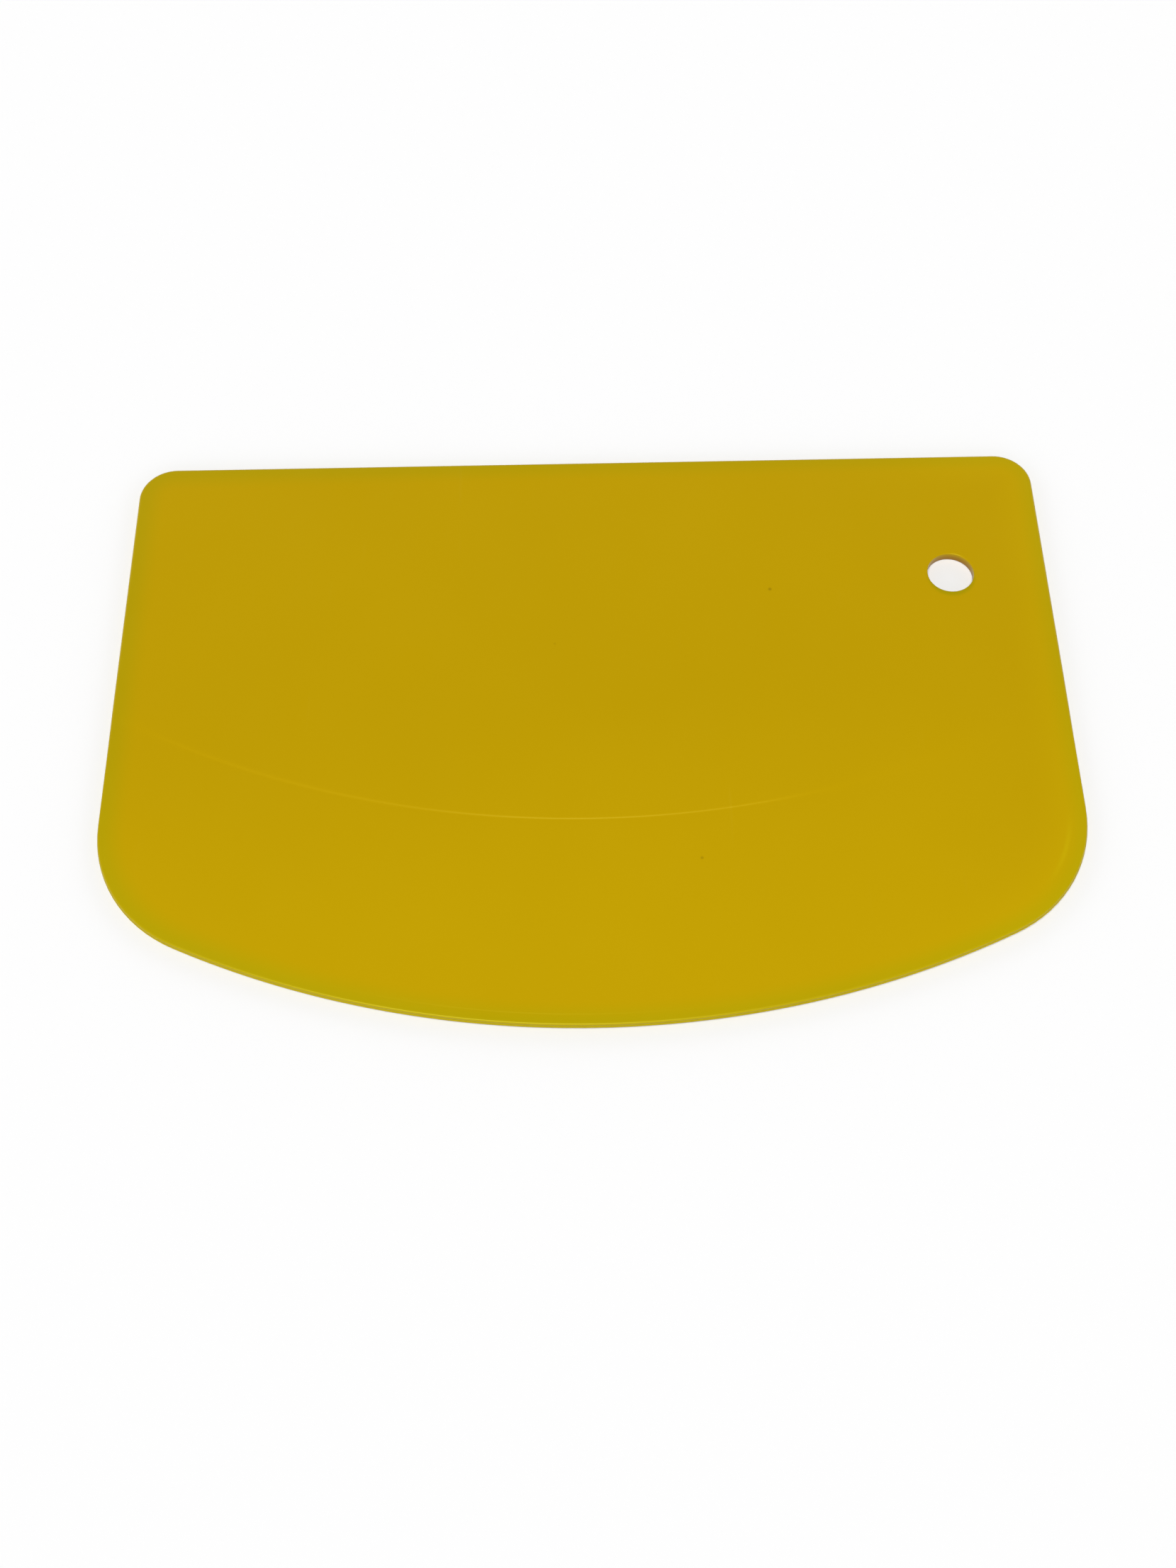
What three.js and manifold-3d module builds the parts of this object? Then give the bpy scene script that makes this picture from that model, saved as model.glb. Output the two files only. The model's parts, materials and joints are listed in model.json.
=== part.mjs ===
// Bowl and mixing scraper: one flexible plastic plate with a straight grip edge, a curved
// scraping edge and a hanging hole. Millimetres, lying on its back face with +Z up, +X along
// the width and +Y from the scraping edge towards the grip edge. The origin is under the
// middle of the plate, on the surface that it lies on.

import * as THREE from "three";
import { mergeVertices, toCreasedNormals } from "three/addons/utils/BufferGeometryUtils.js";
import Module from "manifold-3d";

// Outline of the plate
const PLATE_WIDTH = 150; // between the two parallel sides
const PLATE_HEIGHT = 102.4; // from the grip edge to the lowest point of the scraping edge
const TOP_CORNER_RADIUS = 6;
const LOWER_CORNER_RADIUS = 22.6;
const SCRAPING_EDGE_RADIUS = 147;

// Thickness of the plate
const GRIP_THICKNESS = 1.6;
const EDGE_THICKNESS = 1.4; // at the scraping edge
const RIM_RADIUS = 0.4; // rounding of the rim around the grip
const LEAST_RIM_FLAT = 0.1; // upright part of the rim that the rounding leaves

// Step line, where the thick grip passes into the tapering blade on both faces
const BLADE_DEPTH = 33.8; // from the scraping edge up to the step line, at mid width
const STEP_LINE_RADIUS = 150;
const STEP_DROP = 0.075; // on each face
const STEP_RUN = 0.35;

// Hanging hole
const HOLE_DIAMETER = 7.5;
const HOLE_FROM_SIDE = 15.7; // centre of the hole to the right side
const HOLE_FROM_TOP = 24.3; // centre of the hole to the grip edge
const HOLE_CHAMFER = 0.15; // where the hole meets each face

// Colour and surface of the plastic
const PLASTIC_COLOUR = 0xc09c02;
const PLASTIC_ROUGHNESS = 0.42;

// Fineness of the facets, and how far a cut runs past the plate
const ARC_SEGMENTS = 12;
const RIM_SEGMENTS = 3;
const SWEEP_STEPS = 48;
const HOLE_SEGMENTS = 40;
const OVERCUT = 2;
const CREASE_ANGLE = THREE.MathUtils.degToRad(25);

const halfWidth = PLATE_WIDTH / 2;
const topY = PLATE_HEIGHT / 2;
const middleZ = GRIP_THICKNESS / 2;
const rimRadius = Math.min(RIM_RADIUS, middleZ - LEAST_RIM_FLAT / 2);

const wasm = await Module();
wasm.setup();

/** Closed solid of a geometry, ready to join and cut. */
function solidOf(geometry) {
  const bare = geometry.clone();
  bare.deleteAttribute("normal");
  bare.deleteAttribute("uv");
  const merged = mergeVertices(bare);
  const vertProperties = new Float32Array(merged.attributes.position.array);
  const triVerts = new Uint32Array(merged.index.array);
  return new wasm.Manifold(new wasm.Mesh({ numProp: 3, vertProperties, triVerts }));
}

/** Geometry of a solid, smooth over its curves and crisp at its edges. */
function geometryOf(solid) {
  const { vertProperties, triVerts } = solid.getMesh();
  const geometry = new THREE.BufferGeometry();
  geometry.setAttribute("position", new THREE.BufferAttribute(vertProperties, 3));
  geometry.setIndex(new THREE.BufferAttribute(triVerts, 1));
  return toCreasedNormals(geometry, CREASE_ANGLE);
}

/** Plan of the plate: five arcs, each tangent to the next or joined to it by a straight side. */
function plateOutline() {
  const edgeCentreY = SCRAPING_EDGE_RADIUS - topY;
  const cornerX = halfWidth - LOWER_CORNER_RADIUS;
  const centreToCentre = SCRAPING_EDGE_RADIUS - LOWER_CORNER_RADIUS;
  const cornerY = edgeCentreY - Math.sqrt(centreToCentre ** 2 - cornerX ** 2);
  const halfEdgeAngle = Math.atan2(cornerX, edgeCentreY - cornerY);
  const down = -Math.PI / 2;
  const topCornerX = halfWidth - TOP_CORNER_RADIUS;
  const topCornerY = topY - TOP_CORNER_RADIUS;

  const outline = new THREE.Shape();
  outline.absarc(0, edgeCentreY, SCRAPING_EDGE_RADIUS, down - halfEdgeAngle, down + halfEdgeAngle);
  outline.absarc(cornerX, cornerY, LOWER_CORNER_RADIUS, down + halfEdgeAngle, 0);
  outline.absarc(topCornerX, topCornerY, TOP_CORNER_RADIUS, 0, Math.PI / 2);
  outline.absarc(-topCornerX, topCornerY, TOP_CORNER_RADIUS, Math.PI / 2, Math.PI);
  outline.absarc(-cornerX, cornerY, LOWER_CORNER_RADIUS, Math.PI, 3 * Math.PI / 2 - halfEdgeAngle);
  return outline;
}

/** Plate of the grip's thickness all over, with its rim rounded on both faces. */
function plateBlank() {
  const blank = new THREE.ExtrudeGeometry(plateOutline(), {
    depth: GRIP_THICKNESS - 2 * rimRadius,
    bevelThickness: rimRadius,
    bevelSize: rimRadius,
    bevelOffset: -rimRadius,
    bevelSegments: RIM_SEGMENTS,
    curveSegments: ARC_SEGMENTS,
  });
  return blank.translate(0, 0, rimRadius);
}

/** Height of the step line on the plan, at a distance x from mid width. */
function stepLineY(x) {
  const sagitta = STEP_LINE_RADIUS - Math.sqrt(STEP_LINE_RADIUS ** 2 - x ** 2);
  return BLADE_DEPTH - topY + sagitta;
}

/** Side view of the thickness: x is the distance above the step line and y the height. */
function thicknessProfile() {
  const reach = PLATE_HEIGHT + PLATE_WIDTH;
  const stepSlope = STEP_RUN / STEP_DROP;
  const frontHalf = [
    [-reach, EDGE_THICKNESS / 2],
    [-BLADE_DEPTH, EDGE_THICKNESS / 2],
    [-STEP_RUN, middleZ - STEP_DROP],
    [OVERCUT * stepSlope, middleZ + OVERCUT],
    [reach, middleZ + OVERCUT],
  ];
  const back = frontHalf.map(([along, half]) => new THREE.Vector2(along, middleZ - half));
  const front = frontHalf.map(([along, half]) => new THREE.Vector2(along, middleZ + half));
  return new THREE.Shape([...back, ...front.reverse()]);
}

/** Space that the plate may fill: the side view swept across the width along the step line. */
function thicknessEnvelope() {
  const sweepWidth = PLATE_WIDTH + 2 * OVERCUT;
  const envelope = new THREE.ExtrudeGeometry(thicknessProfile(), {
    depth: sweepWidth,
    steps: SWEEP_STEPS,
    bevelEnabled: false,
  });
  const position = envelope.attributes.position;
  for (let i = 0; i < position.count; i += 1) {
    const x = position.getZ(i) - sweepWidth / 2;
    position.setXYZ(i, x, stepLineY(x) + position.getX(i), position.getY(i));
  }
  return envelope;
}

/** Round cutter for the hanging hole, opening out into a chamfer at each face. */
function holeCutter() {
  const radius = HOLE_DIAMETER / 2;
  const mouthRadius = radius + HOLE_CHAMFER + OVERCUT;
  const profile = [
    [0, -OVERCUT],
    [mouthRadius, -OVERCUT],
    [radius, HOLE_CHAMFER],
    [radius, GRIP_THICKNESS - HOLE_CHAMFER],
    [mouthRadius, GRIP_THICKNESS + OVERCUT],
    [0, GRIP_THICKNESS + OVERCUT],
  ].map(([r, z]) => new THREE.Vector2(r, z));
  const cutter = new THREE.LatheGeometry(profile, HOLE_SEGMENTS);
  return cutter.rotateX(Math.PI / 2).translate(halfWidth - HOLE_FROM_SIDE, topY - HOLE_FROM_TOP, 0);
}

/** The whole moulding. */
function scraperPlate() {
  const plastic = new THREE.MeshStandardMaterial({
    name: "yellow_plastic",
    color: PLASTIC_COLOUR,
    roughness: PLASTIC_ROUGHNESS,
    metalness: 0,
  });
  const solid = solidOf(plateBlank())
    .intersect(solidOf(thicknessEnvelope()))
    .subtract(solidOf(holeCutter()));
  const plate = new THREE.Mesh(geometryOf(solid), plastic);
  plate.name = "scraper_plate";
  return plate;
}

const scraper = new THREE.Group();
scraper.name = "mixing_scraper";
scraper.add(scraperPlate());

export default scraper;
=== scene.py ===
"""Dresses a one-piece mixing scraper: a moulded yellow plate lying in a plain white studio.

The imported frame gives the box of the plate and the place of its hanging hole. Around them the
plate is rebuilt as a fine mesh with a rounded rim, a parting line, a step between grip and blade,
a lip along the scraping edge and a rounded hole. Sizes are in millimetres unless a name says
otherwise, and meshes are scaled to metres when they are made.
"""

import json
import logging
import math
from collections.abc import Iterator, Mapping
from dataclasses import dataclass
from enum import Enum
from typing import Any

import bpy
import numpy as np
from mathutils import Matrix, Vector

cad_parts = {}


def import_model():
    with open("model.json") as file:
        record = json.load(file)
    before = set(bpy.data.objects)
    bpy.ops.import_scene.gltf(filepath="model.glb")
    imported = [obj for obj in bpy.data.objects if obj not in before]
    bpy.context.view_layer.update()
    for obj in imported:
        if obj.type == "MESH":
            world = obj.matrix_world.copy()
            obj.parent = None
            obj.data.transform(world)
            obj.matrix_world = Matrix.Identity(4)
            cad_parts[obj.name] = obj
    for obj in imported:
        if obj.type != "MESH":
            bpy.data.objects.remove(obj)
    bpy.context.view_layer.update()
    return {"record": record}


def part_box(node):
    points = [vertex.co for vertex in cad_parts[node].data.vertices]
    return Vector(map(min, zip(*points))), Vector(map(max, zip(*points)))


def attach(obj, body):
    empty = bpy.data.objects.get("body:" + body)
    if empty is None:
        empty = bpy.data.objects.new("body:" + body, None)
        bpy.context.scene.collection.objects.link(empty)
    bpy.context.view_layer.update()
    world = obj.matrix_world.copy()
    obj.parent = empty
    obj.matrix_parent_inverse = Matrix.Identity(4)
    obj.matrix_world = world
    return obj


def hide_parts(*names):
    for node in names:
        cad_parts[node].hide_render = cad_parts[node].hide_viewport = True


LOG = logging.getLogger("mixing_scraper")

MM = 0.001
PLATE_NODE = "scraper_plate"
PLATE_BODY = "root"

RIM_VALUE = "rim_distance"
# the hole's two values place the painted shade below the hanging hole and down its wall
SHADE_VALUE = "hole_shade_distance"
BORE_VALUE = "bore_depth"

Array = np.ndarray
Colour = tuple[float, float, float, float]


class Face(Enum):
    """The two faces of the plate, with the side of its middle plane that each is on."""

    FRONT = 1
    BACK = -1


class Blend(Enum):
    """Ways of mixing two colours."""

    MIX = "MIX"
    MULTIPLY = "MULTIPLY"


def screen_colour(red: int, green: int, blue: int) -> Colour:
    """Turns a screen colour into the linear colour that shaders take.

    Args:
        red: Red, from 0 to 255.
        green: Green, from 0 to 255.
        blue: Blue, from 0 to 255.

    Returns:
        Linear red, green and blue, with full alpha.
    """
    shares = [value / 255 for value in (red, green, blue)]
    linear = [s / 12.92 if s <= 0.04045 else ((s + 0.055) / 1.055) ** 2.4 for s in shares]
    return (linear[0], linear[1], linear[2], 1.0)


def smooth_rise(share: Array) -> Array:
    """Eases a share from 0 to 1, and holds it at those ends.

    Args:
        share: Values that are 0 where the rise starts and 1 where it ends.

    Returns:
        The eased values.
    """
    held = np.clip(share, 0.0, 1.0)
    return held * held * (3.0 - 2.0 * held)


def smooth_step(past: Array, run: Array) -> Array:
    """Eases from 0 to 1 across a line.

    Args:
        past: Distances past the line.
        run: Width of the step, which lies half before the line and half past it.

    Returns:
        Share of the step that is done.
    """
    return smooth_rise(0.5 + past / run)


@dataclass(frozen=True)
class Signal:
    """An output of a shader node, which takes part in Python sums and products."""

    graph: "ShaderGraph"
    node: bpy.types.Node
    output: str | int = 0

    @property
    def socket(self) -> bpy.types.NodeSocket:
        """The output socket itself."""
        return self.graph.socket_of(self.node.outputs, self.output)

    def __add__(self, other: "Signal | float") -> "Signal":
        """Sum with what stands on the right."""
        return self.graph.maths("ADD", self, other)

    def __radd__(self, other: "Signal | float") -> "Signal":
        """Sum with what stands on the left."""
        return self.graph.maths("ADD", other, self)

    def __sub__(self, other: "Signal | float") -> "Signal":
        """Difference, less what stands on the right."""
        return self.graph.maths("SUBTRACT", self, other)

    def __rsub__(self, other: "Signal | float") -> "Signal":
        """Difference, taken from what stands on the left."""
        return self.graph.maths("SUBTRACT", other, self)

    def __mul__(self, other: "Signal | float") -> "Signal":
        """Product with what stands on the right."""
        return self.graph.maths("MULTIPLY", self, other)

    def __rmul__(self, other: "Signal | float") -> "Signal":
        """Product with what stands on the left."""
        return self.graph.maths("MULTIPLY", other, self)


@dataclass(frozen=True)
class Clouds:
    """Fineness of a cloudy pattern: clouds in a metre, and octaves of finer ones in them."""

    per_metre: float
    octaves: float


class ShaderGraph:
    """Node tree of a material or of the world, filled node by node."""

    def __init__(self, owner: bpy.types.Material | bpy.types.World) -> None:
        """Starts with an empty tree.

        Args:
            owner: Material or world that shows what the tree makes.
        """
        owner.use_nodes = True
        self.tree = owner.node_tree
        self.tree.nodes.clear()

    @staticmethod
    def socket_of(sockets: Any, key: str | int) -> bpy.types.NodeSocket:
        """Finds a socket.

        Args:
            sockets: Inputs or outputs of a node.
            key: Identifier of the socket, or its place in the list.

        Returns:
            The socket.
        """
        if isinstance(key, int):
            return sockets[key]
        return next(socket for socket in sockets if socket.identifier == key)

    def add(
        self,
        kind: str,
        settings: Mapping[str, Any] | None = None,
        inputs: Mapping[str | int, Any] | None = None,
        output: str | int = 0,
    ) -> Signal:
        """Adds one node.

        Args:
            kind: Type of the node.
            settings: Properties of the node, which are set first.
            inputs: Values or signals for its sockets, by identifier or place.
            output: Output that the returned signal reads.

        Returns:
            The node's output as a signal.
        """
        node = self.tree.nodes.new(kind)
        for name, value in (settings or {}).items():
            setattr(node, name, value)
        for key, value in (inputs or {}).items():
            socket = self.socket_of(node.inputs, key)
            if isinstance(value, Signal):
                self.tree.links.new(value.socket, socket)
            else:
                socket.default_value = value
        return Signal(self, node, output)

    def maths(self, operation: str, first: Signal | float, second: Signal | float) -> Signal:
        """Adds a Math node.

        Args:
            operation: Blender's name of the operation.
            first: What stands on the left.
            second: What stands on the right.

        Returns:
            The result.
        """
        return self.add("ShaderNodeMath", {"operation": operation}, {0: first, 1: second})

    def rise(self, value: Signal, start: float, end: float) -> Signal:
        """Eases a value into a mask.

        Args:
            value: The value.
            start: Where the mask is 0.
            end: Where the mask is 1.

        Returns:
            The mask, from 0 to 1.
        """
        return self.add(
            "ShaderNodeMapRange",
            {"interpolation_type": "SMOOTHSTEP"},
            {"Value": value, "From Min": start, "From Max": end},
        )

    def mix(self, share: Signal, first: Any, second: Any, blend: Blend = Blend.MIX) -> Signal:
        """Mixes two colours.

        Args:
            share: How much of the second colour shows, from 0 to 1.
            first: Colour that is there to begin with.
            second: Colour that is laid over it.
            blend: How it is laid over.

        Returns:
            The mixed colour.
        """
        return self.add(
            "ShaderNodeMix",
            {"data_type": "RGBA", "blend_type": blend.value, "clamp_factor": True},
            {"Factor_Float": share, "A_Color": first, "B_Color": second},
            "Result_Color",
        )

    def scaled(self, vector: Signal, scale: Any) -> Signal:
        """Stretches a vector along its axes.

        Args:
            vector: The vector.
            scale: Three factors.

        Returns:
            The stretched vector.
        """
        return self.add(
            "ShaderNodeVectorMath", {"operation": "MULTIPLY"}, {"Vector": vector, "Vector_001": scale}
        )

    def noise(self, place: Signal, clouds: Clouds) -> Signal:
        """Adds a cloudy pattern.

        Args:
            place: Coordinates that it follows, in metres.
            clouds: Fineness of the pattern.

        Returns:
            Values round 0.5.
        """
        return self.add(
            "ShaderNodeTexNoise",
            inputs={"Vector": place, "Scale": clouds.per_metre, "Detail": clouds.octaves},
        )

    def part(self, vector: Signal, axis: str) -> Signal:
        """Takes one of a vector's three parts, X, Y or Z."""
        return self.add("ShaderNodeSeparateXYZ", inputs={"Vector": vector}, output=axis)

    def plan_distance(self, place: Signal, x: float, y: float) -> Signal:
        """Measures the distance on the plan from a point.

        Args:
            place: Coordinates that are measured.
            x: First coordinate of the point.
            y: Second coordinate of the point.

        Returns:
            The distance.
        """
        return self.add(
            "ShaderNodeVectorMath",
            {"operation": "DISTANCE"},
            {"Vector": self.scaled(place, (1.0, 1.0, 0.0)), "Vector_001": (x, y, 0.0)},
            "Value",
        )

    def value_on_mesh(self, name: str) -> Signal:
        """Reads a value that the mesh holds at its points."""
        return self.add("ShaderNodeAttribute", {"attribute_name": name}, output="Fac")


@dataclass(frozen=True)
class DarkSpeck:
    """A grain of burnt plastic that shows at the surface."""

    x: float
    y: float
    radius: float
    strength: float
    core: float = 0.3


@dataclass(frozen=True)
class PaintedRimHighlight:
    """A painted highlight: a pale line that runs beside the rim."""

    x: float
    y: float
    radius: float
    from_rim: float
    width: float
    strength: float


@dataclass(frozen=True)
class YellowPlastic:
    """Satin yellow plastic, paler towards the scraping edge and greener along the rim, with painted shade
    in and below the hanging hole, a painted reflection along the right rim and a painted highlight beside
    it.
    """

    slot: str = "yellow_plastic"
    grip_colour: Colour = screen_colour(191, 155, 0)
    blade_colour: Colour = screen_colour(197, 161, 0)
    pale_from: float = 10.0
    pale_to: float = -45.0
    shade_clouds: Clouds = Clouds(28.0, 2.0)
    shade_depth: float = 0.05
    grip_rim_tint: Colour = (0.875, 0.98, 0.9, 1.0)
    blade_rim_tint: Colour = (0.865, 1.015, 0.9, 1.0)
    rim_reach: float = 4.2
    rim_lean: float = 2.0
    # painted reflection: a paler, greener band along the right part of the rim
    right_rim_reflection: Colour = (1.035, 1.065, 1.0, 1.0)
    right_reflection_reach: float = 9.0
    right_from: float = 35.0
    right_to: float = 75.0
    # painted shade: a darker halo below the hanging hole
    mouth_painted_shade: Colour = (0.78, 0.92, 0.9, 1.0)
    mouth_shade_reach: float = 0.9
    # painted shade down the hanging hole's wall, darkest towards the face the plate lies on
    bore_painted_shade: Colour = (0.76, 0.52, 0.1, 1.0)
    bore_full: float = 0.75
    # painted highlight: a pale line on the lip at the right lower corner
    rim_highlight_colour: Colour = screen_colour(204, 178, 6)
    rim_highlight: PaintedRimHighlight = PaintedRimHighlight(71.0, -24.5, 7.5, 2.85, 0.6, 0.5)
    speck_colour: Colour = screen_colour(150, 118, 2)
    specks: tuple[DarkSpeck, ...] = (
        DarkSpeck(29.6, 24.2, 0.4, 0.7),
        DarkSpeck(16.3, -24.6, 0.35, 0.5),
        DarkSpeck(-5.4, 14.3, 0.3, 0.25),
    )
    gloss: float = 0.5
    gloss_tint: Colour = (0.95, 1.0, 0.15, 1.0)
    roughness: float = 0.32
    sheen_clouds: Clouds = Clouds(90.0, 4.0)
    sheen_spread: float = 0.08
    wear_clouds: Clouds = Clouds(700.0, 3.0)
    rim_wear: float = 0.08
    hairline_wear: float = 0.1
    grain_clouds: Clouds = Clouds(2600.0, 2.0)
    grain_height: float = 0.0012
    wave_clouds: Clouds = Clouds(45.0, 1.0)
    wave_height: float = 0.012
    hairline_clouds: Clouds = Clouds(1600.0, 2.0)
    hairline_stretch: float = 0.03
    hairline_cut: tuple[float, float] = (0.66, 0.74)
    hairline_patches: Clouds = Clouds(60.0, 2.0)
    patch_cut: tuple[float, float] = (0.5, 0.65)
    hairline_depth: float = 0.0015

    def material(self, hole_depth: float) -> bpy.types.Material:
        """Makes the material.

        Args:
            hole_depth: Depth of the hanging hole.

        Returns:
            The material, which reads the values that the plate's mesh holds.
        """
        material = bpy.data.materials.new(self.slot)
        graph = ShaderGraph(material)
        place = graph.add("ShaderNodeTexCoord", output="Object")
        rim_distance = graph.value_on_mesh(RIM_VALUE)
        across = graph.part(place, "X")
        lean = self.rim_lean * across
        rim = graph.rise(rim_distance * (1.0 + lean), self.rim_reach, 0.0) * (1.0 - lean)
        right = graph.rise(across, self.right_from * MM, self.right_to * MM)
        right_reflection = graph.rise(rim_distance, self.right_reflection_reach, 0.0) * right
        hairlines = self._hairlines(graph, place)
        colour = self._plain(graph, place, rim)
        # painted reflection along the right part of the rim
        colour = graph.mix(right_reflection, colour, self.right_rim_reflection, Blend.MULTIPLY)
        # painted highlight beside the rim at the right lower corner
        colour = graph.mix(self._rim_highlight_mask(graph, place, rim_distance), colour, self.rim_highlight_colour)
        colour = self._shaded_hole(graph, hole_depth, colour)
        roughness = (
            self.roughness
            + self.sheen_spread * (graph.noise(place, self.sheen_clouds) - 0.5)
            + self.rim_wear * rim * graph.noise(place, self.wear_clouds)
            + self.hairline_wear * hairlines
        )
        surface = graph.add(
            "ShaderNodeBsdfPrincipled",
            inputs={
                "Base Color": self._mottled(graph, place, colour),
                "Roughness": roughness,
                "Specular IOR Level": self.gloss,
                "Specular Tint": self.gloss_tint,
                "Normal": self._relief(graph, place, hairlines),
            },
        )
        graph.add("ShaderNodeOutputMaterial", inputs={"Surface": surface})
        return material

    def _plain(self, graph: ShaderGraph, place: Signal, rim: Signal) -> Signal:
        """Colours the grip, the blade and their rims.

        Args:
            graph: Tree of the material.
            place: Coordinates on the plate, in metres.
            rim: Mask of the rim.

        Returns:
            The colour.
        """
        blade = graph.rise(graph.part(place, "Y"), self.pale_from * MM, self.pale_to * MM)
        tint = graph.mix(blade, self.grip_rim_tint, self.blade_rim_tint)
        return graph.mix(rim, graph.mix(blade, self.grip_colour, self.blade_colour), tint, Blend.MULTIPLY)

    def _shaded_hole(self, graph: ShaderGraph, hole_depth: float, colour: Signal) -> Signal:
        """Paints shade below the hanging hole and down its wall, by darkening a colour.

        Args:
            graph: Tree of the material.
            hole_depth: Depth of the hanging hole.
            colour: The colour without the hole's shade.

        Returns:
            The darkened colour.
        """
        mouth = graph.rise(graph.value_on_mesh(SHADE_VALUE), self.mouth_shade_reach, 0.0)
        bore = graph.rise(graph.value_on_mesh(BORE_VALUE), 0.0, self.bore_full * hole_depth)
        # painted shade below the hole
        colour = graph.mix(mouth, colour, self.mouth_painted_shade, Blend.MULTIPLY)
        # painted shade down the hole's wall
        return graph.mix(bore, colour, self.bore_painted_shade, Blend.MULTIPLY)

    def _mottled(self, graph: ShaderGraph, place: Signal, colour: Signal) -> Signal:
        """Adds slow clouds and the dark specks to a colour.

        Args:
            graph: Tree of the material.
            place: Coordinates on the plate, in metres.
            colour: The even colour.

        Returns:
            The colour with its clouds and specks.
        """
        shade = 1.0 + self.shade_depth * (graph.noise(place, self.shade_clouds) - 0.5)
        colour = graph.add(
            "ShaderNodeVectorMath", {"operation": "SCALE"}, {"Vector": colour, "Scale": shade}
        )
        for speck in self.specks:
            colour = graph.mix(self._speck_mask(graph, place, speck), colour, self.speck_colour)
        return colour

    def _speck_mask(self, graph: ShaderGraph, place: Signal, speck: DarkSpeck) -> Signal:
        """Masks one dark speck, which goes through the plate.

        Args:
            graph: Tree of the material.
            place: Coordinates on the plate, in metres.
            speck: The speck.

        Returns:
            The mask.
        """
        distance = graph.plan_distance(place, speck.x * MM, speck.y * MM)
        radius = speck.radius * MM
        return speck.strength * graph.rise(distance, radius, speck.core * radius)

    def _rim_highlight_mask(self, graph: ShaderGraph, place: Signal, rim_distance: Signal) -> Signal:
        """Masks the painted highlight beside the rim.

        Args:
            graph: Tree of the material.
            place: Coordinates on the plate, in metres.
            rim_distance: Distance from the outline, in millimetres.

        Returns:
            The mask.
        """
        rim_highlight = self.rim_highlight
        off_line = graph.maths("ABSOLUTE", rim_distance - rim_highlight.from_rim, 0.0)
        line = graph.rise(off_line, rim_highlight.width, 0.0)
        reach = graph.rise(
            graph.plan_distance(place, rim_highlight.x * MM, rim_highlight.y * MM), rim_highlight.radius * MM, 0.0
        )
        return rim_highlight.strength * line * reach

    def _hairlines(self, graph: ShaderGraph, place: Signal) -> Signal:
        """Masks fine wiping scratches, which run down towards the scraping edge.

        Args:
            graph: Tree of the material.
            place: Coordinates on the plate, in metres.

        Returns:
            The mask.
        """
        drawn_out = graph.scaled(place, (1.0, self.hairline_stretch, 1.0))
        lines = graph.rise(graph.noise(drawn_out, self.hairline_clouds), *self.hairline_cut)
        patches = graph.rise(graph.noise(place, self.hairline_patches), *self.patch_cut)
        return lines * patches

    def _relief(self, graph: ShaderGraph, place: Signal, hairlines: Signal) -> Signal:
        """Adds the moulded grain, a slow waviness and the scratches as a bump.

        Args:
            graph: Tree of the material.
            place: Coordinates on the plate, in metres.
            hairlines: Mask of the scratches.

        Returns:
            The bumped normal.
        """
        height = (
            self.grain_height * graph.noise(place, self.grain_clouds)
            + self.wave_height * graph.noise(place, self.wave_clouds)
            - self.hairline_depth * hairlines
        )
        return graph.add("ShaderNodeBump", inputs={"Distance": MM, "Height": height})


@dataclass(frozen=True)
class FloorPaint:
    """Matt paint of the studio floor, which looks white but throws little light back."""

    name: str = "white_floor_paint"
    colour: Colour = (0.97, 0.97, 0.97, 1.0)
    bounce_colour: Colour = (0.4, 0.4, 0.4, 1.0)
    roughness: float = 0.9
    gloss: float = 0.1

    def material(self) -> bpy.types.Material:
        """Makes the material.

        Returns:
            The material.
        """
        material = bpy.data.materials.new(self.name)
        graph = ShaderGraph(material)
        rays = ("Is Camera Ray", "Is Glossy Ray", "Is Transmission Ray")
        in_camera, in_gloss, in_glass = (graph.add("ShaderNodeLightPath", output=ray) for ray in rays)
        surface = graph.add(
            "ShaderNodeBsdfPrincipled",
            inputs={
                "Base Color": graph.mix(in_camera + in_gloss + in_glass, self.bounce_colour, self.colour),
                "Roughness": self.roughness,
                "Specular IOR Level": self.gloss,
            },
        )
        graph.add("ShaderNodeOutputMaterial", inputs={"Surface": surface})
        return material


def arc(centre: Array, radius: float, start: float, end: float, steps: int) -> Array:
    """Lays points along an arc.

    Args:
        centre: Middle of the arc.
        radius: Radius of the arc.
        start: Angle of the first point, in degrees from +X.
        end: Angle of the last point.
        steps: Number of equal steps between them.

    Returns:
        The points, one row each.
    """
    turn = np.radians(np.linspace(start, end, steps + 1))
    return centre + radius * np.column_stack([np.cos(turn), np.sin(turn)])


def mirrored(points: Array) -> Array:
    """Points of the plan, moved to the other side of mid width."""
    return points * np.array([-1.0, 1.0])


def border(rows: int, columns: int) -> tuple[Array, Array]:
    """Walks round a grid, clockwise from its first place.

    Args:
        rows: Number of rows.
        columns: Number of columns.

    Returns:
        Rows and columns of the places along the border.
    """
    across, down = np.arange(columns), np.arange(rows)
    row = [0 * across, down[1:], 0 * across[1:] + rows - 1, down[-2:0:-1]]
    column = [across, 0 * down[1:] + columns - 1, across[-2::-1], 0 * down[1:-1]]
    return np.concatenate(row), np.concatenate(column)


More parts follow.
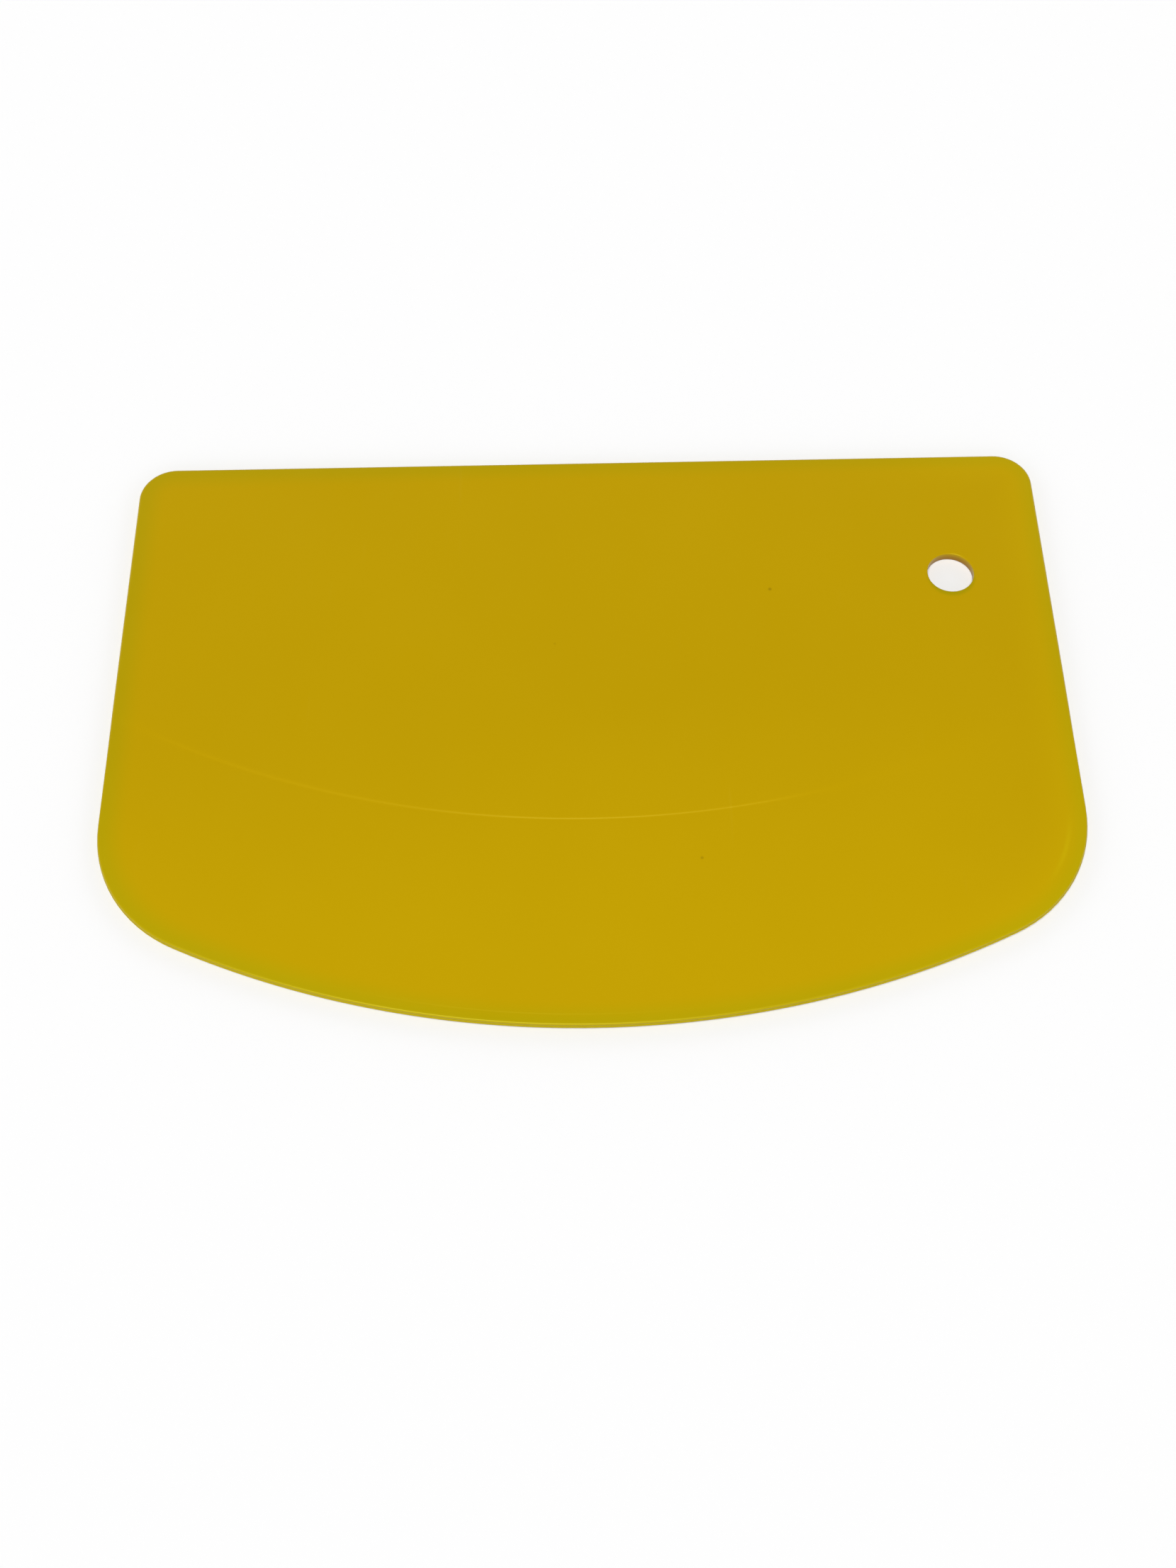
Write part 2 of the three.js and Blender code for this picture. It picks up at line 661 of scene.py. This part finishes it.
def patch(top: Array, bottom: Array, left: Array, right: Array) -> Array:
    """Fills the space between four rows of points.

    Args:
        top: First row, from left to right.
        bottom: Last row, from left to right.
        left: First column, from top to bottom.
        right: Last column, from top to bottom.

    Returns:
        Grid of points, with these four as its border.
    """
    u = np.linspace(0.0, 1.0, len(top))[None, :, None]
    v = np.linspace(0.0, 1.0, len(left))[:, None, None]
    between_rows = (1 - v) * top[None] + v * bottom[None]
    between_columns = (1 - u) * left[:, None] + u * right[:, None]
    upper_corners = (1 - u) * top[0] + u * top[-1]
    lower_corners = (1 - u) * bottom[0] + u * bottom[-1]
    return between_rows + between_columns - (1 - v) * upper_corners - v * lower_corners


@dataclass(frozen=True)
class PlatePlan:
    """Plan of the plate from the front, with the middle of its box at the origin.

    A grid of points covers it. Columns run from left to right, and rows from the grip edge down.
    """

    width: float
    height: float
    top_corner: float = 6.0
    lower_corner: float = 22.6
    edge_radius: float = 147.0
    blade_depth: float = 33.8
    step_radius: float = 150.0
    step_run: float = 0.35
    corner_steps: int = 8
    edge_steps: int = 84
    grip_steps: int = 28
    blade_steps: int = 14

    @property
    def half_width(self) -> float:
        """Distance from mid width to a side."""
        return self.width / 2

    @property
    def top(self) -> float:
        """Height of the grip edge."""
        return self.height / 2

    @property
    def top_centre(self) -> Array:
        """Middle of the right top corner's arc."""
        return np.array([self.half_width - self.top_corner, self.top - self.top_corner])

    @property
    def edge_centre(self) -> Array:
        """Middle of the scraping edge's arc."""
        return np.array([0.0, self.edge_radius - self.top])

    @property
    def lower_centre(self) -> Array:
        """Middle of the right lower corner's arc, which touches the side and the scraping edge."""
        x = self.half_width - self.lower_corner
        between = self.edge_radius - self.lower_corner
        return np.array([x, self.edge_centre[1] - math.sqrt(between**2 - x**2)])

    @property
    def edge_angle(self) -> float:
        """Half the angle of the scraping edge's arc, in degrees."""
        return math.degrees(math.asin(self.lower_centre[0] / (self.edge_radius - self.lower_corner)))

    @property
    def step_rows(self) -> Array:
        """Rows of points across the step, as heights above the step line."""
        shares = np.array([4.0, 1.5, 0.5, 0.0, -0.25, -0.5, -0.75, -1.0, -1.5, -2.5, -4.5, -8.0])
        return shares * self.step_run

    @property
    def first_step_row(self) -> int:
        """Row of the grid where the step's rows begin."""
        return self.corner_steps + self.grip_steps

    def step_y(self, x: Array | float) -> Array | float:
        """Gives the height of the step line.

        Args:
            x: Distance from mid width.

        Returns:
            Height of the step line there.
        """
        sagitta = self.step_radius - np.sqrt(self.step_radius**2 - np.square(x))
        return self.blade_depth - self.top + sagitta

    def rim_distance(self, points: Array) -> Array:
        """Measures how far points are from the outline.

        Args:
            points: Points of the plan.

        Returns:
            Their distances to the outline, inwards.
        """
        folded = np.column_stack([np.abs(points[:, 0]), points[:, 1]])
        edge = self.edge_radius - np.linalg.norm(folded - self.edge_centre, axis=1)
        distance = np.minimum(self.half_width - folded[:, 0], self.top - folded[:, 1])
        distance = np.minimum(distance, edge)
        from_top = folded - self.top_centre
        in_top = (from_top[:, 0] > 0) & (from_top[:, 1] > 0)
        from_low = folded - self.lower_centre
        turn = np.degrees(np.arctan2(from_low[:, 1], from_low[:, 0]))
        in_low = (turn < 0) & (turn > self.edge_angle - 90.0)
        distance = np.where(in_top, self.top_corner - np.linalg.norm(from_top, axis=1), distance)
        distance = np.where(in_low, self.lower_corner - np.linalg.norm(from_low, axis=1), distance)
        return np.maximum(distance, 0.0)

    def top_row(self, inset: float) -> Array:
        """Lays the first row of points, along the grip edge.

        Args:
            inset: Distance from the outline.

        Returns:
            The row, from the middle of one top corner to that of the other.
        """
        corner = arc(self.top_centre, self.top_corner - inset, 90.0, 45.0, self.corner_steps)
        x = np.linspace(-self.top_centre[0], self.top_centre[0], self.edge_steps + 1)[1:-1]
        straight = np.column_stack([x, np.full_like(x, self.top - inset)])
        return np.concatenate([mirrored(corner)[::-1], straight, corner])

    def bottom_row(self, inset: float) -> Array:
        """Lays the last row of points, along the scraping edge.

        Args:
            inset: Distance from the outline.

        Returns:
            The row, from the middle of one lower corner to that of the other.
        """
        low = self.edge_angle - 90.0
        corner = arc(self.lower_centre, self.lower_corner - inset, low, low / 2, self.corner_steps)
        ends = (-90.0 - self.edge_angle, -90.0 + self.edge_angle)
        edge = arc(self.edge_centre, self.edge_radius - inset, *ends, self.edge_steps)[1:-1]
        return np.concatenate([mirrored(corner)[::-1], edge, corner])

    def right_column(self, inset: float) -> Array:
        """Lays the last column of points, along the right side.

        Args:
            inset: Distance from the outline.

        Returns:
            The column, from the middle of the top corner to that of the lower one.
        """
        x = self.half_width - inset
        step = self.step_y(x) + self.step_rows
        grip = np.linspace(self.top_centre[1], step[0], self.grip_steps + 1)[1:-1]
        blade = np.linspace(step[-1], self.lower_centre[1], self.blade_steps + 1)[1:-1]
        y = np.concatenate([grip, step, blade])
        straight = np.column_stack([np.full_like(y, x), y])
        upper = arc(self.top_centre, self.top_corner - inset, 45.0, 0.0, self.corner_steps)
        low = (self.edge_angle - 90.0) / 2
        lower = arc(self.lower_centre, self.lower_corner - inset, 0.0, low, self.corner_steps)
        return np.concatenate([upper, straight, lower])

    def loop(self, inset: float) -> Array:
        """Lays a closed loop of points along the outline.

        Args:
            inset: Distance from the outline.

        Returns:
            The loop, clockwise from the left top corner.
        """
        right = self.right_column(inset)
        left = mirrored(right)
        top, bottom = self.top_row(inset), self.bottom_row(inset)
        return np.concatenate([top, right[1:], bottom[-2::-1], left[-2:0:-1]])

    def uneven_loop(self, insets: Array) -> Array:
        """Lays a closed loop whose distance from the outline varies.

        Args:
            insets: Distance from the outline at each point of a loop.

        Returns:
            The loop, clockwise from the left top corner.
        """
        outline = self.loop(0.0)
        return outline + insets[:, None] * (self.loop(1.0) - outline)

    def grid(self, inset: float) -> Array:
        """Covers the plan with points, following the step line.

        Args:
            inset: Distance of the grid's border from the outline.

        Returns:
            Grid of points.
        """
        right = self.right_column(inset)
        left = mirrored(right)
        x = np.linspace(left[0, 0], right[0, 0], 2 * self.corner_steps + self.edge_steps + 1)
        x = x * (self.half_width - inset) / x[-1]
        step = [np.column_stack([x, self.step_y(x) + row]) for row in self.step_rows]
        first, last = self.first_step_row, self.first_step_row + len(step) - 1
        grip = patch(self.top_row(inset), step[0], left[: first + 1], right[: first + 1])
        blade = patch(step[-1], self.bottom_row(inset), left[last:], right[last:])
        return np.concatenate([grip, np.stack(step[1:-1]), blade])


@dataclass(frozen=True)
class StepFade:
    """Widening of the step towards a side of the plate."""

    width: float
    added_run: float
    power: float = 1.5

    def run(self, from_side: Array) -> Array:
        """Gives how much wider the step is than at mid width.

        Args:
            from_side: Distances from the side.

        Returns:
            The width that is added to the step there.
        """
        return self.added_run * np.clip(1.0 - from_side / self.width, 0.0, 1.0) ** self.power


@dataclass(frozen=True)
class EdgeLip:
    """Low lip along the scraping edge, whose step is sharp near mid width only."""

    width: float = 1.8
    drop: float = 0.025
    run: float = 0.26
    sharpest_x: float = -10.0
    sharp_width: float = 15.0
    fade: float = 8.0

    @property
    def rings(self) -> Array:
        """Distances from the outline at which the mesh follows the lip's step."""
        shares = np.array([-0.5, -0.25, 0.0, 0.25, 0.5, 4.0])
        return self.width + shares * self.run

    def depth(self, x: Array, inset: Array, below: Array) -> Array:
        """Measures how far a face lies below the face of the blade.

        Args:
            x: Distances from mid width.
            inset: Distances from the outline.
            below: Distances below the step line.

        Returns:
            Depth of the lip there.
        """
        run = self.run * (1.0 + ((x - self.sharpest_x) / self.sharp_width) ** 2)
        return self.drop * smooth_step(self.width - inset, run) * smooth_rise(below / self.fade)


@dataclass(frozen=True)
class PlateWall:
    """Thickness of the plate, which is alike on both faces, and the shape of its rim."""

    grip: float
    step_drop: float = 0.075
    left_fade: StepFade = StepFade(75.0, 1.0)
    right_fade: StepFade = StepFade(50.0, 10.0)
    end_fade: StepFade = StepFade(12.0, 3.0)
    lip: EdgeLip = EdgeLip()
    grid_margin: float = 2.0
    grip_rim_radius: float = 0.4
    blade_rim_radius: float = 0.25
    rim_steps: int = 5
    grip_ridge: float = 0.08
    blade_ridge: float = 0.14
    ridge_steps: int = 3
    rim_fade: float = 10.0
    flat_rings: tuple[float, ...] = (0.15, 0.5)

    def half(self, plan: PlatePlan, points: Array) -> Array:
        """Measures how far a face stands from the middle plane.

        Args:
            plan: Plan of the plate.
            points: Points of the plan.

        Returns:
            Half the thickness there, without the rounding of the rim.
        """
        below = plan.step_y(points[:, 0]) - points[:, 1]
        inset = plan.rim_distance(points)
        from_side = plan.half_width - np.abs(points[:, 0])
        on_left = points[:, 0] < 0.0
        added_run = np.where(on_left, self.left_fade.run(from_side), self.right_fade.run(from_side))
        run = plan.step_run + added_run + self.end_fade.run(from_side)
        step = smooth_step(below - plan.step_run / 2, run)
        return self.grip / 2 - self.step_drop * step - self.lip.depth(points[:, 0], inset, below)

    def rim_rings(self, plan: PlatePlan) -> Iterator[tuple[Array, Array]]:
        """Lays the rings of the rim, from the side of the parting ridge to the flat of a face.

        Args:
            plan: Plan of the plate.

        Yields:
            Loop of points, and their heights above the middle plane.
        """
        ridge = self.along_rim(plan, self.grip_ridge, self.blade_ridge)
        for turn in np.radians(np.linspace(0.0, 90.0, self.ridge_steps + 1)[1:]):
            yield plan.uneven_loop(ridge * (1.0 - math.cos(turn))), ridge * math.sin(turn)
        radius = self.along_rim(plan, self.grip_rim_radius, self.blade_rim_radius)
        for turn in np.radians(np.linspace(0.0, 90.0, self.rim_steps + 1)):
            loop = plan.uneven_loop(ridge + radius * (1.0 - math.cos(turn)))
            yield loop, self.half(plan, loop) - radius * (1.0 - math.sin(turn))
        flat = np.max(ridge + radius) + np.array(self.flat_rings)
        for inset in (*flat, *self.lip.rings):
            loop = plan.loop(inset)
            yield loop, self.half(plan, loop)

    def along_rim(self, plan: PlatePlan, on_grip: float, on_blade: float) -> Array:
        """Passes from a size of the grip's rim to that of the blade's.

        Args:
            plan: Plan of the plate.
            on_grip: The size around the grip.
            on_blade: The size along the blade.

        Returns:
            The size at each point of a loop.
        """
        outline = plan.loop(0.0)
        below = plan.step_y(outline[:, 0]) - outline[:, 1]
        return on_grip + (on_blade - on_grip) * smooth_rise(below / self.rim_fade)

    @property
    def grid_inset(self) -> float:
        """Distance from the outline to the border of the grid that covers a face."""
        return self.lip.width + self.grid_margin


@dataclass(frozen=True)
class HangingHole:
    """Round hole near the right side, with its mouth rounded at both faces."""

    x: float
    y: float
    radius: float = 3.75
    mouth_radius: float = 0.15
    mouth_steps: int = 5
    margin: float = 0.35
    shade_drop: float = 0.8
    shade_inset: float = 0.4
    bore_share: float = 0.9
    cells: int = 8
    points_per_cell: int = 2
    first_angle: float = 135.0

    @property
    def centre(self) -> Array:
        """Middle of the hole on the plan."""
        return np.array([self.x, self.y])

    def circle(self, radius: float) -> Array:
        """Lays a loop round the hole.

        Args:
            radius: Radius of the loop.

        Returns:
            The loop, clockwise from its upper left.
        """
        steps = 4 * self.cells * self.points_per_cell
        return arc(self.centre, radius, self.first_angle, self.first_angle - 360.0, steps)[:-1]

    def mouth_rings(self, half: float) -> Iterator[tuple[Array, float]]:
        """Lays the rings of one mouth, from the flat of the face to the wall of the hole.

        Args:
            half: Half the thickness of the plate here.

        Yields:
            Loop of points, and its height above the middle plane.
        """
        yield self.circle(self.radius + self.mouth_radius + self.margin), half
        for turn in np.radians(np.linspace(90.0, 0.0, self.mouth_steps + 1)):
            radius = self.radius + self.mouth_radius * (1.0 - math.cos(turn))
            yield self.circle(radius), half - self.mouth_radius * (1.0 - math.sin(turn))

    def distance(self, points: Array) -> Array:
        """Measures how far points are from the wall of the hole.

        Args:
            points: Points of the plan.

        Returns:
            Their distances.
        """
        return np.maximum(np.linalg.norm(points - self.centre, axis=1) - self.radius, 0.0)

    def shade_distance(self, points: Array) -> Array:
        """Measures how far points are from the painted shade round the hole, which lies lower than it.

        Args:
            points: Points of the plan.

        Returns:
            Their distances from the disc where the shade is full.
        """
        middle = self.centre - np.array([0.0, self.shade_drop])
        disc = self.radius - self.shade_inset
        return np.maximum(np.linalg.norm(points - middle, axis=1) - disc, 0.0)

    def depth(self, points: Array, half: float) -> Array:
        """Measures how deep points are inside the hole.

        Args:
            points: Points of the mesh, with their heights above the middle plane.
            half: Half the thickness of the plate here.

        Returns:
            Their depths below the front face, or 0 outside the hole.
        """
        inside = self.distance(points[:, :2]) < self.bore_share * self.mouth_radius
        return np.where(inside, half - points[:, 2], 0.0)


class MeshDraft:
    """Points and faces of a mesh while it is laid out, in millimetres."""

    def __init__(self) -> None:
        """Starts with nothing."""
        self.points: list[Array] = []
        self.faces: list[list[int]] = []
        self.count = 0

    def add_points(self, plan: Array, height: Array | float) -> Array:
        """Adds points.

        Args:
            plan: Places of the points on the plan.
            height: Heights of the points, or one height for all.

        Returns:
            Numbers of the points.
        """
        self.points.append(np.column_stack([plan, np.broadcast_to(height, len(plan))]))
        numbers = np.arange(self.count, self.count + len(plan))
        self.count += len(plan)
        return numbers

    def bridge(self, outer: Array, inner: Array, face: Face) -> None:
        """Joins two clockwise loops by a band of faces.

        Args:
            outer: Points of the outer loop.
            inner: Points of the inner loop, as many or a multiple of that.
            face: Face of the plate that the band is on.
        """
        share = len(inner) // len(outer)
        closed_outer, closed_inner = np.append(outer, outer[0]), np.append(inner, inner[0])
        for i in range(len(outer)):
            stretch = closed_inner[i * share : (i + 1) * share + 1]
            self._add_face([closed_outer[i], *stretch, closed_outer[i + 1]], face)

    def fill(self, grid: Array, face: Face) -> None:
        """Covers a grid of points with four-sided faces.

        Args:
            grid: Numbers of the points, or -1 where there is none.
            face: Face of the plate that the grid is on.
        """
        corners = np.stack([grid[:-1, :-1], grid[1:, :-1], grid[1:, 1:], grid[:-1, 1:]], axis=-1)
        for cell in corners.reshape(-1, 4):
            if cell.min() >= 0:
                self._add_face(list(cell), face)

    def _add_face(self, corners: list[int], face: Face) -> None:
        """Adds one face, turned so that it looks out of the plate."""
        self.faces.append([int(c) for c in corners[:: face.value]])

    def all_points(self) -> Array:
        """Gathers the points.

        Returns:
            The points, one row each.
        """
        return np.concatenate(self.points)


@dataclass(frozen=True)
class ScraperPlate:
    """The scraper's one moulding."""

    plan: PlatePlan
    wall: PlateWall
    hole: HangingHole
    finish: YellowPlastic
    name: str = "scraper_moulding"

    def build(self) -> bpy.types.Object:
        """Builds the plate, dresses it and puts it in the place of its CAD node.

        Returns:
            The plate.
        """
        draft = MeshDraft()
        crest = draft.add_points(self.plan.loop(0.0), 0.0)
        hole_middle = draft.add_points(self.hole.circle(self.hole.radius), 0.0)
        for face in Face:
            border_ring = self._rim(draft, crest, face)
            grid = self._face_grid(draft, border_ring, face)
            self._hole_mouth(draft, grid, hole_middle, face)
        piece = self._object(draft)
        piece.data.materials.append(self.finish.material(self.wall.grip))
        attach(piece, PLATE_BODY)
        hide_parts(PLATE_NODE)
        return piece

    def _rim(self, draft: MeshDraft, crest: Array, face: Face) -> Array:
        """Builds the rim of one face.

        Args:
            draft: Mesh that is being laid out.
            crest: Loop along the parting line.
            face: Face of the plate.

        Returns:
            Innermost loop of the rim.
        """
        outer = crest
        for loop, height in self.wall.rim_rings(self.plan):
            inner = draft.add_points(loop, face.value * height)
            draft.bridge(outer, inner, face)
            outer = inner
        return outer

    def _face_grid(self, draft: MeshDraft, rim_loop: Array, face: Face) -> Array:
        """Lays the grid of one face, without the block of cells around the hole.

        Args:
            draft: Mesh that is being laid out.
            rim_loop: Innermost loop of the rim.
            face: Face of the plate.

        Returns:
            Numbers of the grid's points, or -1 inside the hole's block.
        """
        places = self.plan.grid(self.wall.grid_inset)
        rows, columns = places.shape[:2]
        new = np.ones((rows, columns), bool)
        row, column = self._hole_corner(places)
        new[row + 1 : row + self.hole.cells, column + 1 : column + self.hole.cells] = False
        grid = np.full((rows, columns), -1)
        grid[new] = draft.add_points(places[new], face.value * self.wall.half(self.plan, places[new]))
        draft.bridge(rim_loop, grid[border(rows, columns)], face)
        draft.fill(grid, face)
        return grid

    def _hole_corner(self, places: Array) -> tuple[int, int]:
        """Finds the first row and column of the block of cells around the hole.

        Args:
            places: Grid of points on the plan.

        Returns:
            Row and column of the block's first corner.
        """
        gap = np.linalg.norm(places - self.hole.centre, axis=2)
        row, column = np.unravel_index(gap.argmin(), gap.shape)
        return int(row) - self.hole.cells // 2, int(column) - self.hole.cells // 2

    def _hole_mouth(self, draft: MeshDraft, grid: Array, hole_middle: Array, face: Face) -> None:
        """Builds the hole's mouth and half of its wall.

        Args:
            draft: Mesh that is being laid out.
            grid: Numbers of the face's points, or -1 inside the hole's block.
            hole_middle: Loop around the hole at the middle plane.
            face: Face of the plate.
        """
        row, column = np.argwhere(grid < 0).min(axis=0) - 1
        side = self.hole.cells + 1
        outer = grid[row : row + side, column : column + side][border(side, side)]
        for loop, height in self.hole.mouth_rings(self.wall.grip / 2):
            inner = draft.add_points(loop, face.value * height)
            draft.bridge(outer, inner, face)
            outer = inner
        draft.bridge(outer, hole_middle, face)

    def _object(self, draft: MeshDraft) -> bpy.types.Object:
        """Turns the draft into an object in metres, with the values that its finish reads.

        Args:
            draft: The finished draft.

        Returns:
            The object, standing on the floor.
        """
        points = draft.all_points()
        raised = points + np.array([0.0, 0.0, self.wall.grip / 2])
        mesh = bpy.data.meshes.new(self.name)
        mesh.from_pydata((raised * MM).tolist(), [], draft.faces)
        mesh.shade_smooth()
        plan = points[:, :2]
        values = {
            RIM_VALUE: self.plan.rim_distance(plan),
            SHADE_VALUE: self.hole.shade_distance(plan),
            BORE_VALUE: self.hole.depth(points, self.wall.grip / 2),
        }
        for name, value in values.items():
            mesh.attributes.new(name, "FLOAT", "POINT").data.foreach_set("value", value.astype(np.float32))
        piece = bpy.data.objects.new(self.name, mesh)
        bpy.context.scene.collection.objects.link(piece)
        piece.modifiers.new("even_shading", "WEIGHTED_NORMAL")
        return piece


@dataclass(frozen=True)
class StudioFloor:
    """Plain white floor that the scraper lies on."""

    paint: FloorPaint
    name: str = "studio_floor"
    reach: float = 4000.0
    drop: float = 0.02

    def build(self) -> bpy.types.Object:
        """Builds the floor.

        Returns:
            The floor.
        """
        side = self.reach * MM
        corners = [(-side, -side, 0.0), (side, -side, 0.0), (side, side, 0.0), (-side, side, 0.0)]
        mesh = bpy.data.meshes.new(self.name)
        mesh.from_pydata(corners, [], [(0, 1, 2, 3)])
        mesh.materials.append(self.paint.material())
        floor = bpy.data.objects.new(self.name, mesh)
        floor.location.z = -self.drop * MM
        bpy.context.scene.collection.objects.link(floor)
        return floor


@dataclass(frozen=True)
class StudioLight:
    """White walls all round, a dimmer ceiling, and one large soft lamp from the front left."""

    wall_level: float = 1.0
    ceiling_level: float = 0.08
    wall_top: float = 21.0
    ceiling_edge: float = 38.0
    lamp_name: str = "soft_lamp"
    lamp_strength: float = 2.44
    lamp_spread: float = 26.0
    lamp_from: tuple[float, float, float] = (-0.14, -0.34, 0.93)

    def build(self) -> bpy.types.Object:
        """Builds the light.

        Returns:
            The lamp.
        """
        self._build_room()
        data = bpy.data.lights.new(self.lamp_name, "SUN")
        data.energy = self.lamp_strength
        data.angle = math.radians(self.lamp_spread)
        lamp = bpy.data.objects.new(self.lamp_name, data)
        lamp.rotation_euler = Vector(self.lamp_from).to_track_quat("Z", "Y").to_euler()
        bpy.context.scene.collection.objects.link(lamp)
        return lamp

    def _build_room(self) -> None:
        """Builds the walls and the ceiling as the world's light."""
        world = bpy.data.worlds.new("studio_room")
        bpy.context.scene.world = world
        graph = ShaderGraph(world)
        height = graph.part(graph.add("ShaderNodeTexCoord", output="Generated"), "Z")
        start, end = (math.sin(math.radians(a)) for a in (self.wall_top, self.ceiling_edge))
        ceiling = graph.rise(height, start, end)
        level = self.wall_level + (self.ceiling_level - self.wall_level) * ceiling
        light = graph.add(
            "ShaderNodeBackground", inputs={"Color": (1.0, 1.0, 1.0, 1.0), "Strength": level}
        )
        graph.add("ShaderNodeOutputWorld", inputs={"Surface": light})


@dataclass(frozen=True)
class PhotoCamera:
    """Camera that looks at the scraper as the photograph does. Angles are in degrees."""

    name: str = "photo_camera"
    focal_length: float = 42.915
    sensor: float = 36.0
    nearest: float = 10.0
    elevation: float = 60.31
    azimuth: float = -0.26
    roll: float = -0.82
    distance: float = 287.59
    aim: tuple[float, float, float] = (-0.54, -10.7, 0.0)

    def build(self) -> bpy.types.Object:
        """Builds the camera and gives it to the scene.

        Returns:
            The camera.
        """
        around, up_from_floor = math.radians(self.azimuth), math.radians(self.elevation)
        level = math.cos(up_from_floor)
        back = Vector((math.sin(around) * level, -math.cos(around) * level, math.sin(up_from_floor)))
        right = Vector((math.cos(around), math.sin(around), 0.0))
        axes = Matrix((right, back.cross(right), back)).transposed()
        turned = axes @ Matrix.Rotation(math.radians(self.roll), 3, "Z")
        data = bpy.data.cameras.new(self.name)
        data.lens = self.focal_length
        data.sensor_width = self.sensor
        data.clip_start = self.nearest * MM
        camera = bpy.data.objects.new(self.name, data)
        place = (Vector(self.aim) + back * self.distance) * MM
        camera.matrix_world = Matrix.LocRotScale(place, turned, None)
        bpy.context.scene.collection.objects.link(camera)
        bpy.context.scene.camera = camera
        return camera


def plate_from_frame(record: Mapping[str, Any]) -> ScraperPlate:
    """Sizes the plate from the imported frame.

    Args:
        record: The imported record, which gives the place of the hanging hole.

    Returns:
        The plate, not yet built.
    """
    low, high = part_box(PLATE_NODE)
    width, height, thickness = ((high - low) / MM)[:]
    opening = np.array(record["physics"]["openings"][0]["box_m"]) / MM
    hole_x, hole_y = opening.mean(axis=0)[:2]
    return ScraperPlate(
        plan=PlatePlan(width, height),
        wall=PlateWall(grip=thickness),
        hole=HangingHole(hole_x, hole_y),
        finish=YellowPlastic(),
    )


def main() -> None:
    """Builds the scraper and its studio."""
    logging.basicConfig(level=logging.INFO, format="%(name)s: %(message)s")
    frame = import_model()
    bpy.context.scene.view_settings.view_transform = "Standard"

    plate = plate_from_frame(frame["record"]).build()
    LOG.info("%s: %d points, %d faces", plate.name, len(plate.data.vertices), len(plate.data.polygons))
    floor = StudioFloor(FloorPaint()).build()
    LOG.info("%s laid", floor.name)
    lamp = StudioLight().build()
    LOG.info("%s hung in %s", lamp.name, bpy.context.scene.world.name)
    camera = PhotoCamera().build()
    LOG.info("%s placed", camera.name)


if __name__ == "__main__":
    main()
